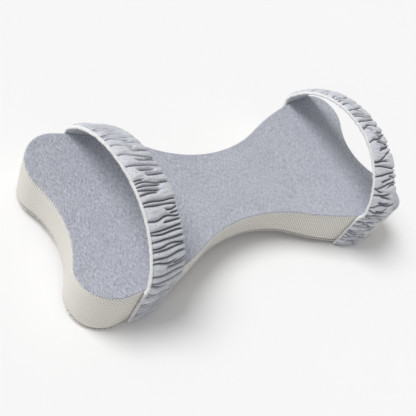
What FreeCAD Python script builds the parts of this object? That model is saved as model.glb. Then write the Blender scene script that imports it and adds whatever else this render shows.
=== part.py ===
import FreeCAD, Part
import math
import os

import Sketcher

# A bone-shaped foam support cushion with a zip-off cover and two elastic straps.
# Millimetres. +X runs along the cushion, +Z is up, and the origin is the middle of the
# floor under it. The side towards -Y is the near side, and the zip is on the far side.

SIZES = {
    # plan outline, a chain of tangent arcs mirrored in both axes
    "half_length": 250.0,
    "end_middle_reach": 232.6,
    "end_hollow_radius": 118.0,
    "lobe_radius": 39.5,
    "flank_radius": 331.4,
    "waist_radius": 182.9,
    "waist_half_width": 53.4,
    # both faces are shallow dishes cut by a large ring surface
    "dish_tube_radius": 435.0,
    "dish_ring_radius": 3433.0,
    "top_middle_height": 54.8,
    "underside_middle_height": 18.8,
    "blank_height": 90.0,
    # layers, from the outside in
    "panel_thickness": 2.4,
    "border_thickness": 3.0,
    "liner_thickness": 0.8,
    "layer_gap": 0.1,
    "thread_thickness": 0.5,
    "thread_rise": 1.3,
    # zip, in the side wall at the waist
    "zip_height": 37.0,
    "zip_window_angle": 54.6,
    "zip_window_half_height": 9.0,
    "tape_angle": 54.2,
    "tape_depth": 1.1,
    "tape_thickness": 0.8,
    "zip_slit": 0.35,
    "coil_angle": 51.4,
    "coil_rise": 0.15,
    "coil_width": 1.65,
    "stop_angle": 0.8,
    "slider_angle": 3.8,
    "slider_rest_angle": 23.5,
    "slider_half_width": 4.0,
    "slider_skin": 1.4,
    "slider_lift": 0.3,
    "ear_angle": 1.0,
    "pivot_lift": 3.6,
    "pivot_radius": 0.6,
    "pull_bore_radius": 0.66,
    "pull_eye_radius": 1.5,
    "pull_eye_height": 4.8,
    "pull_length": 24.0,
    "pull_height": 6.4,
    "pull_thickness": 1.2,
    "pull_rest_tilt": 4.0,
    # straps
    "strap_width": 46.0,
    "strap_thickness": 3.8,
    "strap_face_thickness": 1.9,
    "strap_elastic_thickness": 0.9,
    "strap_elastic_inset": 4.0,
    "strap_edging_width": 2.4,
    "strap_wall_gap": 0.7,
    "leg_thickness": 3.3,
    "leg_foot_height": 2.0,
    "leg_top_height": 76.0,
    "tack_height": 3.0,
    "hinge_height": 76.0,
    "arch_foot_height": 68.0,
    "arch_span_height": 76.0,
    "tongue_radius": 22.5,
    "hinge_gap": 0.3,
    "tip_trim": 17.0,
}

# Each strap: place of its middle along X, its yaw, and its arch at the two edges of the
# band as (half span at the span height, crown height, crown offset along Y).
STRAPS = {
    "left_strap": {
        "middle": -165.0,
        "yaw": 0.0,
        "left_edge": (114.2, 151.0, -22.0),
        "right_edge": (105.0, 138.0, -20.0),
    },
    "right_strap": {
        "middle": 180.5,
        "yaw": -3.5,
        "left_edge": (111.0, 157.0, -14.0),
        "right_edge": (116.8, 145.0, -12.0),
    },
}

Z_AXIS = FreeCAD.Vector(0, 0, 1)
Y_AXIS = FreeCAD.Vector(0, 1, 0)
X_AXIS = FreeCAD.Vector(1, 0, 0)

doc = FreeCAD.newDocument("support_cushion")
sheet = doc.addObject("Spreadsheet::Sheet", "Sizes")
NODES = []


def fill_sheet():
    for row, (alias, value) in enumerate(SIZES.items(), start=1):
        sheet.set(f"A{row}", alias)
        sheet.set(f"B{row}", str(value))
        sheet.setAlias(f"B{row}", alias)
    doc.recompute()


def size(alias):
    return float(getattr(sheet, alias))


def add(kind, name, **bindings):
    thing = doc.addObject(kind, name)
    for prop, expression in bindings.items():
        thing.setExpression(prop, expression)
    return thing


def keep(thing, label):
    thing.Label = label
    NODES.append(thing)
    return thing


def cut(name, base, *tools):
    for number, tool in enumerate(tools):
        result = doc.addObject("Part::Cut", f"{name}_cut{number}")
        result.Base = base
        result.Tool = tool
        base = result
    return base


def common(name, base, tool):
    result = doc.addObject("Part::Common", f"{name}_common")
    result.Base = base
    result.Tool = tool
    return result


# ---- plan outline ---------------------------------------------------------------


def outline_centres():
    """Centres of the end, lobe, flank and waist arcs in the +X +Y quarter."""
    end = FreeCAD.Vector(size("end_middle_reach") + size("end_hollow_radius"), 0, 0)
    lobe_x = size("half_length") - size("lobe_radius")
    reach = size("end_hollow_radius") + size("lobe_radius")
    lobe = FreeCAD.Vector(lobe_x, math.sqrt(reach**2 - (end.x - lobe_x) ** 2), 0)
    waist = FreeCAD.Vector(0, size("waist_half_width") + size("waist_radius"), 0)
    to_lobe = size("flank_radius") - size("lobe_radius")
    to_waist = size("flank_radius") + size("waist_radius")
    span = waist - lobe
    along = (to_lobe**2 - to_waist**2 + span.Length**2) / (2 * span.Length)
    across = math.sqrt(to_lobe**2 - along**2)
    unit = FreeCAD.Vector(span).normalize()
    flank = lobe + unit * along + FreeCAD.Vector(-unit.y, unit.x, 0) * across
    return end, lobe, flank, waist


def heading(start, end):
    return math.atan2(end.y - start.y, end.x - start.x)


def outline_arcs():
    """The twelve arcs, anticlockwise, as (kind, centre, radius, first, last, bulges)."""
    end, lobe, flank, waist = outline_centres()
    end_turn = heading(end, lobe)
    lobe_low = heading(lobe, end)
    lobe_high = heading(flank, lobe)
    flank_high = heading(flank, waist)
    waist_turn = heading(waist, flank)
    quarter = [
        ("lobe", lobe, size("lobe_radius"), lobe_low, lobe_high, True),
        ("flank", flank, size("flank_radius"), lobe_high, flank_high, True),
    ]
    mirrored = [
        (kind, FreeCAD.Vector(-c.x, c.y, 0), r, math.pi - b, math.pi - a, True)
        for kind, c, r, a, b, _ in reversed(quarter)
    ]
    half = quarter
    half += [("waist", waist, size("waist_radius"), waist_turn, math.pi - waist_turn, False)]
    half += mirrored
    left_end = FreeCAD.Vector(-end.x, 0, 0)
    spread = math.pi - end_turn
    half += [("end", left_end, size("end_hollow_radius"), spread, -spread, False)]
    turned = [(k, c * -1, r, a + math.pi, b + math.pi, out) for k, c, r, a, b, out in half]
    return half + turned


def outline_sketch():
    sketch = doc.addObject("Sketcher::SketchObject", "outline")
    arcs = outline_arcs()
    ends = []
    for kind, centre, radius, first, last, bulges in arcs:
        low, high = (first, last) if bulges else (last, first)
        circle = Part.Circle(centre, Z_AXIS, radius)
        sketch.addGeometry(Part.ArcOfCircle(circle, low, high), False)
        ends.append((1, 2) if bulges else (2, 1))
    count = len(arcs)
    for index in range(count):
        after = (index + 1) % count
        pair = (index, ends[index][1], after, ends[after][0])
        sketch.addConstraint(Sketcher.Constraint("Tangent", *pair))
    for index, (kind, centre, radius, _, _, _) in enumerate(arcs):
        bind_arc(sketch, index, kind, centre, radius)
    return sketch


def bind_arc(sketch, index, kind, centre, radius):
    radii = {"end": "end_hollow_radius"}
    radius_name = radii.get(kind, f"{kind}_radius")
    bind(sketch, ("Radius", index, radius), f"Sizes.{radius_name}")
    if kind == "end":
        sketch.addConstraint(Sketcher.Constraint("PointOnObject", index, 3, -1))
        reach = "Sizes.end_middle_reach + Sizes.end_hollow_radius"
        bind_offset(sketch, "DistanceX", index, centre.x, reach)
    if kind == "lobe":
        reach = "Sizes.half_length - Sizes.lobe_radius"
        bind_offset(sketch, "DistanceX", index, centre.x, reach)
    if kind == "waist":
        sketch.addConstraint(Sketcher.Constraint("PointOnObject", index, 3, -2))
        reach = "Sizes.waist_half_width + Sizes.waist_radius"
        bind_offset(sketch, "DistanceY", index, centre.y, reach)


def bind(sketch, constraint, expression):
    number = sketch.addConstraint(Sketcher.Constraint(*constraint))
    sketch.setExpression(f"Constraints[{number}]", expression)


def bind_offset(sketch, kind, index, place, expression):
    """Hold an arc's centre at a bound distance from the origin, on its own side."""
    pair = (-1, 1, index, 3) if place > 0 else (index, 3, -1, 1)
    bind(sketch, (kind, *pair, abs(place)), expression)


def prism(name, sketch, offset):
    """The outline grown by an offset expression, as a tall block from the floor up."""
    face = sketch
    if offset != "0":
        face = add("Part::Offset2D", f"{name}_outline", Value=offset)
        face.Source = sketch
    block = add("Part::Extrusion", f"{name}_block", LengthFwd="Sizes.blank_height")
    block.Base = face
    block.DirMode = "Custom"
    block.Dir = Z_AXIS
    block.Solid = True
    return block


def dish(name, side, depth):
    """The ring-shaped cutter of one face, sunk by a depth expression into the foam."""
    ring = add(
        "Part::Torus",
        f"{name}_dish",
        Radius1="Sizes.dish_ring_radius",
        Radius2=f"Sizes.dish_tube_radius + {depth}",
    )
    reach = size("dish_ring_radius") + size("dish_tube_radius")
    height = size("top_middle_height") + reach
    if side == "bottom":
        height = size("underside_middle_height") - reach
    tilt = FreeCAD.Rotation(X_AXIS, 90)
    ring.Placement = FreeCAD.Placement(FreeCAD.Vector(0, 0, height), tilt)
    return ring


# ---- cushion --------------------------------------------------------------------

LINER_OUT = "(Sizes.border_thickness + Sizes.layer_gap)"
LINER_IN = "(Sizes.border_thickness + Sizes.layer_gap + Sizes.liner_thickness)"
FOAM_OUT = f"({LINER_IN} + Sizes.layer_gap)"
LINER_TOP = "(Sizes.panel_thickness + Sizes.layer_gap)"
LINER_UNDER = "(Sizes.panel_thickness + Sizes.layer_gap + Sizes.liner_thickness)"
FOAM_TOP = f"({LINER_UNDER} + Sizes.layer_gap)"


def between_dishes(name, block, depth):
    top = dish(f"{name}_top", "top", depth)
    bottom = dish(f"{name}_bottom", "bottom", depth)
    return cut(name, block, top, bottom)


def face_layer(name, side, block, outer_depth, inner_depth):
    """One sheet that follows a dished face, between two depths."""
    inner = dish(f"{name}_inner", side, inner_depth)
    outer = dish(f"{name}_outer", side, outer_depth)
    return keep(cut(name, common(name, block, inner), outer), name)


def seam_thread(name, side, ring):
    """The overlock row that runs round the cushion over the joint of panel and wall."""
    low = dish(f"{name}_low", side, "Sizes.panel_thickness + Sizes.thread_rise")
    high = dish(f"{name}_high", side, "Sizes.panel_thickness - Sizes.thread_rise")
    return keep(cut(name, common(name, ring, low), high), name)


def make_foam(sketch):
    block = prism("foam", sketch, f"-{FOAM_OUT}")
    keep(between_dishes("foam_core", block, FOAM_TOP), "foam_core")


def make_liner(sketch):
    outer = prism("liner_outer", sketch, f"-{LINER_OUT}")
    inner = prism("liner_inner", sketch, f"-{LINER_IN}")
    ring = cut("liner_ring", outer, inner)
    keep(between_dishes("liner_border", ring, FOAM_TOP), "liner_border")
    face_layer("liner_top", "top", outer, LINER_TOP, LINER_UNDER)
    face_layer("liner_bottom", "bottom", outer, LINER_TOP, LINER_UNDER)


def make_cover(sketch):
    block = prism("cover", sketch, "0")
    inner = prism("cover_inner", sketch, "-Sizes.border_thickness")
    ring = cut("cover_ring", block, inner)
    wall = between_dishes("wall", ring, LINER_TOP)
    face_layer("top_panel", "top", block, "0", "Sizes.panel_thickness")
    face_layer("bottom_panel", "bottom", block, "0", "Sizes.panel_thickness")
    window = pie("zip_window", "Sizes.zip_window_angle", 0)
    keep(cut("side_border", wall, window), "side_border")
    top_of_window = size("zip_height") + size("zip_window_half_height")
    upper = pie("zip_band_upper", "Sizes.tape_angle", top_of_window)
    keep(common("zip_band_upper", wall, upper), "zip_band_upper")
    lower = pie("zip_band_lower", "Sizes.tape_angle", 0)
    lower.setExpression("Height", "Sizes.zip_height - Sizes.zip_window_half_height")
    keep(common("zip_band_lower", wall, lower), "zip_band_lower")


def make_threads(sketch):
    outer = prism("thread_outer", sketch, "Sizes.layer_gap + Sizes.thread_thickness")
    inner = prism("thread_inner", sketch, "Sizes.layer_gap")
    ring = cut("thread_ring", outer, inner)
    seam_thread("top_seam_thread", "top", ring)
    seam_thread("bottom_seam_thread", "bottom", ring)


def waist_middle():
    return size("waist_half_width") + size("waist_radius")


def pie(name, angle, height):
    """A wedge about the centre of the far waist arc, which reaches past the wall."""
    wedge = add("Part::Cylinder", f"{name}_pie", Angle=angle, Height="Sizes.blank_height")
    wedge.setExpression("Radius", "Sizes.waist_radius + 2 * Sizes.border_thickness")
    turn = FreeCAD.Rotation(Z_AXIS, -90 - 0.5 * size(angle.split(".")[1]))
    wedge.Placement = FreeCAD.Placement(FreeCAD.Vector(0, waist_middle(), height), turn)
    return wedge


# ---- zip ------------------------------------------------------------------------

COIL_OUT = "Sizes.waist_radius - Sizes.coil_rise"
TAPE_OUT = "Sizes.waist_radius + Sizes.tape_depth"
SLIDER_IN = f"{COIL_OUT} - Sizes.slider_lift"
SLIDER_OUT = f"{SLIDER_IN} - Sizes.slider_skin"
PIVOT = f"{COIL_OUT} - Sizes.pivot_lift"


def origin_plane(body, role):
    return next(item for item in body.Origin.OriginFeatures if item.Role == role)


def new_sketch(body, name, role):
    sketch = body.newObject("Sketcher::SketchObject", name)
    sketch.AttachmentSupport = [(origin_plane(body, role), "")]
    sketch.MapMode = "FlatFace"
    return sketch


def add_rectangle(sketch, low_x, high_x, low_y, high_y):
    """A rectangle whose four sides are held by expressions from the origin."""
    corners = [(1, 1), (9, 1), (9, 9), (1, 9)]
    first = sketch.GeometryCount
    for index in range(4):
        start = FreeCAD.Vector(*corners[index], 0)
        end = FreeCAD.Vector(*corners[(index + 1) % 4], 0)
        sketch.addGeometry(Part.LineSegment(start, end), False)
    for index in range(4):
        after = first + (index + 1) % 4
        sketch.addConstraint(Sketcher.Constraint("Coincident", first + index, 2, after, 1))
        side = "Horizontal" if index % 2 == 0 else "Vertical"
        sketch.addConstraint(Sketcher.Constraint(side, first + index))
    bind(sketch, ("DistanceX", -1, 1, first, 1, 1), low_x)
    bind(sketch, ("DistanceX", -1, 1, first, 2, 9), high_x)
    bind(sketch, ("DistanceY", -1, 1, first, 1, 1), low_y)
    bind(sketch, ("DistanceY", -1, 1, first + 1, 2, 9), high_y)


def turn_profile(body, name, sketch, angle):
    turned = body.newObject("PartDesign::Revolution", name)
    turned.Profile = sketch
    turned.ReferenceAxis = (sketch, ["V_Axis"])
    turned.Midplane = True
    turned.setExpression("Angle", angle)
    body.Tip = turned
    return turned


def zip_body(name, turn):
    """A body whose own Z axis is the centre of the waist arc, at the zip's height."""
    body = doc.addObject("PartDesign::Body", name)
    place = FreeCAD.Vector(0, waist_middle(), size("zip_height"))
    body.Placement = FreeCAD.Placement(place, FreeCAD.Rotation(Z_AXIS, turn - 90))
    return body


def arc_bar(body, name, inner, outer, low, high, angle):
    """A bar of rectangular section turned about the body's Z axis."""
    sketch = new_sketch(body, f"{name}_profile", "XZ_Plane")
    add_rectangle(sketch, inner, outer, low, high)
    return turn_profile(body, f"{name}_turn", sketch, angle)


def make_tapes_and_coils():
    slit = "Sizes.zip_slit"
    half = "Sizes.zip_window_half_height - Sizes.layer_gap"
    coil = f"{slit} + Sizes.coil_width"
    tape_in = f"{TAPE_OUT} + Sizes.tape_thickness"
    coil_in = f"{TAPE_OUT} - 0.5 * Sizes.layer_gap"
    for side in ("upper", "lower"):
        tape = zip_body(f"zip_tape_{side}", 0)
        coils = zip_body(f"zip_coil_{side}", 0)
        span = (slit, half) if side == "upper" else (f"-({half})", f"-{slit}")
        row = (slit, coil) if side == "upper" else (f"-({coil})", f"-{slit}")
        arc_bar(tape, f"tape_{side}", TAPE_OUT, tape_in, *span, "Sizes.tape_angle")
        arc_bar(coils, f"coil_{side}", COIL_OUT, coil_in, *row, "Sizes.coil_angle")
        keep(tape, f"zip_tape_{side}")
        keep(coils, f"zip_coil_{side}")


def make_stops():
    place = 0.5 * (size("coil_angle") + size("stop_angle")) + 0.1
    reach = "Sizes.zip_slit + Sizes.coil_width + 0.6"
    coil_in = f"{TAPE_OUT} - 0.5 * Sizes.layer_gap"
    proud = f"{COIL_OUT} - 0.3"
    bottom = zip_body("zip_bottom_stop", -place)
    arc_bar(bottom, "bottom_stop", proud, coil_in, f"-({reach})", reach, "Sizes.stop_angle")
    keep(bottom, "zip_bottom_stop")
    for side in ("upper", "lower"):
        stop = zip_body(f"zip_top_stop_{side}", place)
        span = ("Sizes.zip_slit", reach)
        if side == "lower":
            span = (f"-({reach})", "-Sizes.zip_slit")
        arc_bar(stop, f"top_stop_{side}", proud, coil_in, *span, "Sizes.stop_angle")
        keep(stop, f"zip_top_stop_{side}")


def make_slider():
    body = zip_body("zip_slider", size("slider_rest_angle"))
    half = "Sizes.slider_half_width"
    angle = "Sizes.slider_angle"
    shell = f"{SLIDER_IN} + 0.1"
    arc_bar(body, "slider_front", SLIDER_OUT, SLIDER_IN, f"-{half}", half, angle)
    back_out = f"{TAPE_OUT} + Sizes.tape_thickness + 0.15"
    post_out = f"{back_out} + 0.1"
    arc_bar(body, "slider_post", f"{SLIDER_IN} - 0.2", post_out, "-0.25", "0.25", "1.2")
    arc_bar(body, "slider_back", back_out, f"{back_out} + 0.8", f"-{half}", half, angle)
    flange_in = f"{SLIDER_IN} + 1.1"
    grip = "Sizes.zip_slit + Sizes.coil_width + 0.5"
    arc_bar(body, "slider_grip_up", f"{SLIDER_IN} - 0.2", flange_in, grip, half, angle)
    low = (f"-{half}", f"-({grip})")
    arc_bar(body, "slider_grip_low", f"{SLIDER_IN} - 0.2", flange_in, *low, angle)
    ear_out = f"{PIVOT} - Sizes.pivot_radius - 0.5"
    ears = ((f"-{half}", f"-({half} - 1)"), (f"{half} - 1", half))
    for number, ear in enumerate(ears):
        foot = f"{SLIDER_OUT} + 0.2"
        arc_bar(body, f"slider_ear{number}", ear_out, foot, *ear, "Sizes.ear_angle")
    pin = new_sketch(body, "slider_pin_profile", "XY_Plane")
    add_circle(pin, PIVOT, "Sizes.pivot_radius")
    pad(body, "slider_pin", pin, f"2 * {half} - 0.4")
    keep(body, "zip_slider")


def add_circle(sketch, distance, radius):
    circle = Part.Circle(FreeCAD.Vector(9, 0, 0), Z_AXIS, 1)
    index = sketch.addGeometry(circle, False)
    sketch.addConstraint(Sketcher.Constraint("PointOnObject", index, 3, -1))
    bind(sketch, ("DistanceX", -1, 1, index, 3, 9), distance)
    bind(sketch, ("Radius", index, 1), radius)


def pad(body, name, sketch, length):
    feature = body.newObject("PartDesign::Pad", name)
    feature.Profile = sketch
    feature.Midplane = True
    feature.setExpression("Length", length)
    body.Tip = feature
    return feature


def make_pull():
    """The pull lies back along the wall, tilted a little off it about its own pin."""
    body = doc.addObject("PartDesign::Body", "zip_pull")
    eye = new_sketch(body, "pull_eye_profile", "XY_Plane")
    add_circle(eye, "0", "Sizes.pull_eye_radius")
    pad(body, "pull_eye", eye, "Sizes.pull_eye_height")
    tab = new_sketch(body, "pull_tab_profile", "XY_Plane")
    half = "0.5 * Sizes.pull_thickness"
    add_rectangle(tab, f"-{half}", half, "-Sizes.pull_length", "-Sizes.pull_eye_radius + 0.4")
    pad(body, "pull_tab", tab, "Sizes.pull_eye_height")
    grip = new_sketch(body, "pull_grip_profile", "XY_Plane")
    wide = "0.8 * Sizes.pull_thickness"
    add_rectangle(grip, f"-{wide}", wide, "-Sizes.pull_length", "-0.55 * Sizes.pull_length")
    pad(body, "pull_grip", grip, "Sizes.pull_height")
    bore = new_sketch(body, "pull_bore_profile", "XY_Plane")
    add_circle(bore, "0", "Sizes.pull_bore_radius")
    doc.recompute()
    before = body.Shape.Volume
    hole = body.newObject("PartDesign::Pocket", "pull_bore")
    hole.Profile = bore
    hole.Type = "ThroughAll"
    hole.Midplane = True
    body.Tip = hole
    doc.recompute()
    if body.Shape.Volume >= before:
        raise RuntimeError("the pull's bore cut nothing")
    place = zip_body("pull_place", size("slider_rest_angle")).Placement
    doc.removeObject("pull_place")
    reach = size("waist_radius") - size("coil_rise") - size("pivot_lift")
    pivot = place.multVec(FreeCAD.Vector(reach, 0, 0))
    tilt = size("slider_rest_angle") - 90 - size("pull_rest_tilt")
    body.Placement = FreeCAD.Placement(pivot, FreeCAD.Rotation(Z_AXIS, tilt))
    keep(body, "zip_pull")


# ---- straps ---------------------------------------------------------------------
# A strap's band is ruled between two arches that differ, which no PartDesign feature
# makes, so its pieces are shapes made here from the sheet's sizes.


def arch_at(strap, across):
    """Half span, crown height and crown offset of the arch at a place across the band."""
    share = across / size("strap_width") + 0.5
    pairs = zip(strap["left_edge"], strap["right_edge"])
    return [low + share * (high - low) for low, high in pairs]


def arch_arc(crown, middle, radius, foot, bulge):
    """One side of an arch, from its foot to its crown, as an arc about its centre."""
    height = foot.z - middle.z
    side = math.copysign(math.sqrt(radius**2 - height**2), foot.y - middle.y)
    start = FreeCAD.Vector(crown.x, middle.y + side, foot.z)
    end = FreeCAD.Vector(crown.x, middle.y, middle.z + radius)
    chord = (start + end) * 0.5 - middle
    halfway = middle + chord.normalize() * radius
    return Part.Arc(start, halfway, end) if bulge else Part.Arc(end, halfway, start)


def arch_profile(strap, across, outer, inner):
    """The closed section of a band layer: two arcs outside, two inside, two feet."""
    span, height, offset = arch_at(strap, across)
    foot_height = size("arch_foot_height")
    rise = height - size("arch_span_height")
    crown = FreeCAD.Vector(across, offset, height)
    curves = []
    for side in (-1, 1):
        reach = abs(side * span - offset)
        radius = (reach**2 + rise**2) / (2 * rise)
        middle = FreeCAD.Vector(across, offset, height - radius)
        foot = FreeCAD.Vector(across, side * span, foot_height)
        curves.append(arch_arc(crown, middle, radius - outer, foot, True))
        curves.append(arch_arc(crown, middle, radius - inner, foot, False))
    near_out, near_in, far_out, far_in = curves
    edges = [near_out.toShape(), far_out.toShape()]
    edges.append(Part.makeLine(far_out.StartPoint, far_in.EndPoint))
    edges += [far_in.toShape(), near_in.toShape()]
    edges.append(Part.makeLine(near_in.EndPoint, near_out.StartPoint))
    return Part.Wire(Part.__sortEdges__(edges))


def band(strap, left, right, outer, inner):
    """A layer of the strap from one place across it to another, as a ruled solid."""
    profiles = [arch_profile(strap, across, outer, inner) for across in (left, right)]
    return Part.makeLoft(profiles, True, True)


def hinge_drum(radius):
    """A cylinder along the axis on which the strap leans, in the strap's own frame."""
    start = FreeCAD.Vector(0, -200, size("hinge_height"))
    return Part.makeCylinder(radius, 400, start, Y_AXIS)


def strap_place(strap):
    turn = FreeCAD.Rotation(Z_AXIS, strap["yaw"])
    return FreeCAD.Placement(FreeCAD.Vector(strap["middle"], 0, 0), turn)


def add_shape(name, shape, place=None):
    feature = doc.addObject("Part::Feature", name)
    feature.Shape = shape
    if place is not None:
        feature.Placement = place
    return keep(feature, name)


def leaning_part(shape):
    """What leans: the band above the drum, with its foot's tips trimmed to clear."""
    low = size("hinge_height") + size("tip_trim")
    trim = Part.makeBox(200, 400, low, FreeCAD.Vector(-100, -200, 0))
    drum = hinge_drum(size("tongue_radius") + size("hinge_gap"))
    return shape.cut(trim).cut(drum)


def make_arch(name, strap):
    half = 0.5 * size("strap_width")
    face = size("strap_face_thickness")
    gap = size("layer_gap")
    elastic = face + gap + size("strap_elastic_thickness")
    edging = half - size("strap_edging_width")
    inset = half - size("strap_elastic_inset")
    full = size("strap_thickness")
    layers = {
        "face": band(strap, -edging, half, 0, face),
        "elastic": band(strap, -inset, inset, face + gap, elastic),
        "backing": band(strap, -edging, half, elastic + gap, full),
        "edging": band(strap, -half, -edging - gap, 0, full),
    }
    for layer, shape in layers.items():
        add_shape(f"{name}_{layer}", leaning_part(shape), strap_place(strap))


def wall_slab(sketch, strap, inner, outer, low, high):
    """A piece of a ring round the cushion's wall, as wide as the strap."""
    blocks = []
    for offset in (outer, inner):
        edge = sketch.Shape.makeOffset2D(offset).Wires[0]
        blocks.append(Part.Face(edge).extrude(Z_AXIS * high))
    width = size("strap_width")
    box = Part.makeBox(width, 400, high - low, FreeCAD.Vector(-0.5 * width, -200, low))
    box = box.transformed(strap_place(strap).Matrix)
    return box.common(blocks[0]).cut(blocks[1])


def on_side(shape, side):
    half = Part.makeBox(800, 200, 200, FreeCAD.Vector(-400, 0 if side == "far" else -200, 0))
    return shape.common(half)


def make_legs(sketch, name, strap):
    """Each leg lies on the wall, and goes on as a round tongue inside the leaning band."""
    gap = size("strap_wall_gap")
    outer = gap + size("leg_thickness")
    top = size("leg_top_height")
    wall = wall_slab(sketch, strap, gap, outer, size("leg_foot_height"), top)
    half = 0.5 * size("strap_width")
    tongue = band(strap, -half, half, 0, size("strap_thickness"))
    tongue = tongue.common(hinge_drum(size("tongue_radius")))
    trim = Part.makeBox(200, 400, top, FreeCAD.Vector(-100, -200, size("layer_gap")))
    tongue = tongue.cut(trim).transformed(strap_place(strap).Matrix)
    for side in ("near", "far"):
        leg = Part.makeCompound([on_side(wall, side), on_side(tongue, side)])
        add_shape(f"{name}_{side}_leg", leg)


def make_tacks(sketch, name, strap):
    inner = size("strap_wall_gap") + size("leg_thickness") + 0.5 * size("layer_gap")
    outer = inner + size("thread_thickness")
    low = size("leg_foot_height") + size("tack_height")
    high = low + size("tack_height")
    bars = wall_slab(sketch, strap, inner, outer, low, high)
    add_shape(f"{name}_tacks", bars)


# ---- build ----------------------------------------------------------------------


def check_document():
    for thing in doc.Objects:
        states = set(thing.State)
        if states & {"Invalid", "Error"}:
            raise RuntimeError(f"{thing.Name} did not build: {thing.State}")
    for node in NODES:
        shape = node.Shape
        if shape.isNull() or not shape.isValid() or not shape.Solids:
            raise RuntimeError(f"{node.Label} is not a valid solid")


def write_parts():
    os.makedirs("parts", exist_ok=True)
    for node in NODES:
        node.Shape.exportStep(f"parts/{node.Label}.step")
        print(node.Label, len(node.Shape.Solids), round(node.Shape.Volume, 1))


fill_sheet()
plan = outline_sketch()
doc.recompute()
make_foam(plan)
make_liner(plan)
make_cover(plan)
make_threads(plan)
make_tapes_and_coils()
make_stops()
make_slider()
make_pull()
for strap_name, strap_shape in STRAPS.items():
    make_legs(plan, strap_name, strap_shape)
    make_tacks(plan, strap_name, strap_shape)
    make_arch(strap_name, strap_shape)
doc.recompute()
check_document()
write_parts()
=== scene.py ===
import math

import bmesh
import bpy
import numpy as np
from bpy.props import (
    FloatProperty,
    FloatVectorProperty,
    IntProperty,
    PointerProperty,
    StringProperty,
)
from mathutils import Matrix, Vector, kdtree


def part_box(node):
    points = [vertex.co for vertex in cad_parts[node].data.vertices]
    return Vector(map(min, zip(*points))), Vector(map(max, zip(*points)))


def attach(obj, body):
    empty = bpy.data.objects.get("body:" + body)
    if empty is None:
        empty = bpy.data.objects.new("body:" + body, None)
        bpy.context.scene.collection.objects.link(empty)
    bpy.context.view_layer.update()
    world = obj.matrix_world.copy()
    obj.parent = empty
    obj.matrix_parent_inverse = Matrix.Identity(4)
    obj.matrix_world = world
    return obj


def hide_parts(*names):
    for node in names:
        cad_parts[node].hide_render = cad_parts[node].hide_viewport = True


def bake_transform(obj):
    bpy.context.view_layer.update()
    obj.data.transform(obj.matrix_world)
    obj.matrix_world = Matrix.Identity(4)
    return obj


bl_info = {
    "name": "Strapped Support Cushion",
    "version": (1, 0, 0),
    "blender": (4, 5, 0),
    "location": "3D View > Sidebar > Support Cushion",
    "description": "A bone-shaped foam cushion with a knit top, mesh wall and gathered straps",
    "category": "Add Mesh",
}

MM = 0.001
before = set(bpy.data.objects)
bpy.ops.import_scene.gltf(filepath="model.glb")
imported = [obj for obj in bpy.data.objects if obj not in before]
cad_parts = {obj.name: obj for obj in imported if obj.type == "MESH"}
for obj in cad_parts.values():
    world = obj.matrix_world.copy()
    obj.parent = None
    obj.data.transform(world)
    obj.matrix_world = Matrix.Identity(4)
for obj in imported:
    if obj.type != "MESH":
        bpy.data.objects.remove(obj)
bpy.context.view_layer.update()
TOP_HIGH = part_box("top_panel")[1]


# ---- settings -------------------------------------------------------------------


def length(name, description, millimetres):
    return FloatProperty(
        name=name, description=description, default=millimetres * MM, unit="LENGTH"
    )


def angle(name, description, degrees):
    return FloatProperty(
        name=name, description=description, default=math.radians(degrees), subtype="ANGLE"
    )


def shade(name, description, code):
    return StringProperty(name=name, description=description, default=code)


class CushionSettings(bpy.types.PropertyGroup):
    """Sizes of the cushion. The outline is a chain of tangent arcs in each quarter."""

    half_length: FloatProperty(
        name="Half length", description="Half the length over the lobes",
        default=TOP_HIGH.x, unit="LENGTH",
    )
    end_reach: length("End reach", "Middle of each hollow end from the centre", 232.6)
    end_radius: length("End radius", "Radius of the hollow ends", 118.0)
    lobe_radius: length("Lobe radius", "Radius of the corner lobes", 39.5)
    flank_radius: length("Flank radius", "Radius of the long convex flanks", 331.4)
    waist_radius: length("Waist radius", "Radius of the hollow waist", 182.9)
    waist_half: length("Waist half width", "Half the width at the waist", 53.4)
    dish_tube: length("Dish radius across", "Radius of both faces across the cushion", 435.0)
    dish_ring: length("Dish ring radius", "Added radius of both faces along it", 3433.0)
    top_middle: length("Top middle", "Height of the middle of the top face", 54.8)
    base_middle: length("Base middle", "Height of the middle of the underside", 18.8)
    knit_thickness: length("Knit thickness", "Thickness of the top panel", 2.2)
    mesh_thickness: length("Mesh thickness", "Thickness of the wall fabric", 2.6)
    swell: length("Swell", "Furthest that the fabric may stand proud", 3.2)
    seam_tuck: length("Seam tuck", "How far the fabrics turn in at a seam", 1.3)
    stitch_pitch: length("Stitch pitch", "Distance between overlock stitches", 2.9)


class StrapSettings(bpy.types.PropertyGroup):
    """Sizes of the two gathered elastic straps."""

    thickness: length("Thickness", "Thickness of the flat strap", 3.8)
    gather_pitch: length("Gather pitch", "Mean distance between gathers", 7.2)
    gather_depth: length("Gather depth", "Depth of the gathers", 6.0)
    edge_scallop: length("Edge scallop", "How far puffs swell past the free edge", 2.6)
    edge_radius: length("Edge radius", "Radius of the overlocked edge", 1.35)
    edge_pitch: length("Edge pitch", "Distance between turns of the edge thread", 1.15)
    seed: IntProperty(name="Seed", description="Seed of the gathers", default=11)


class ZipSettings(bpy.types.PropertyGroup):
    """Sizes of the coil zip in the far wall."""

    coil_pitch: length("Coil pitch", "Distance between turns of the coil", 1.3)
    window_half_angle: angle("Window half angle", "Half the zip's turn at the waist", 27.3)
    window_half_height: length("Window half height", "Half the height of the opening", 9.0)


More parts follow.
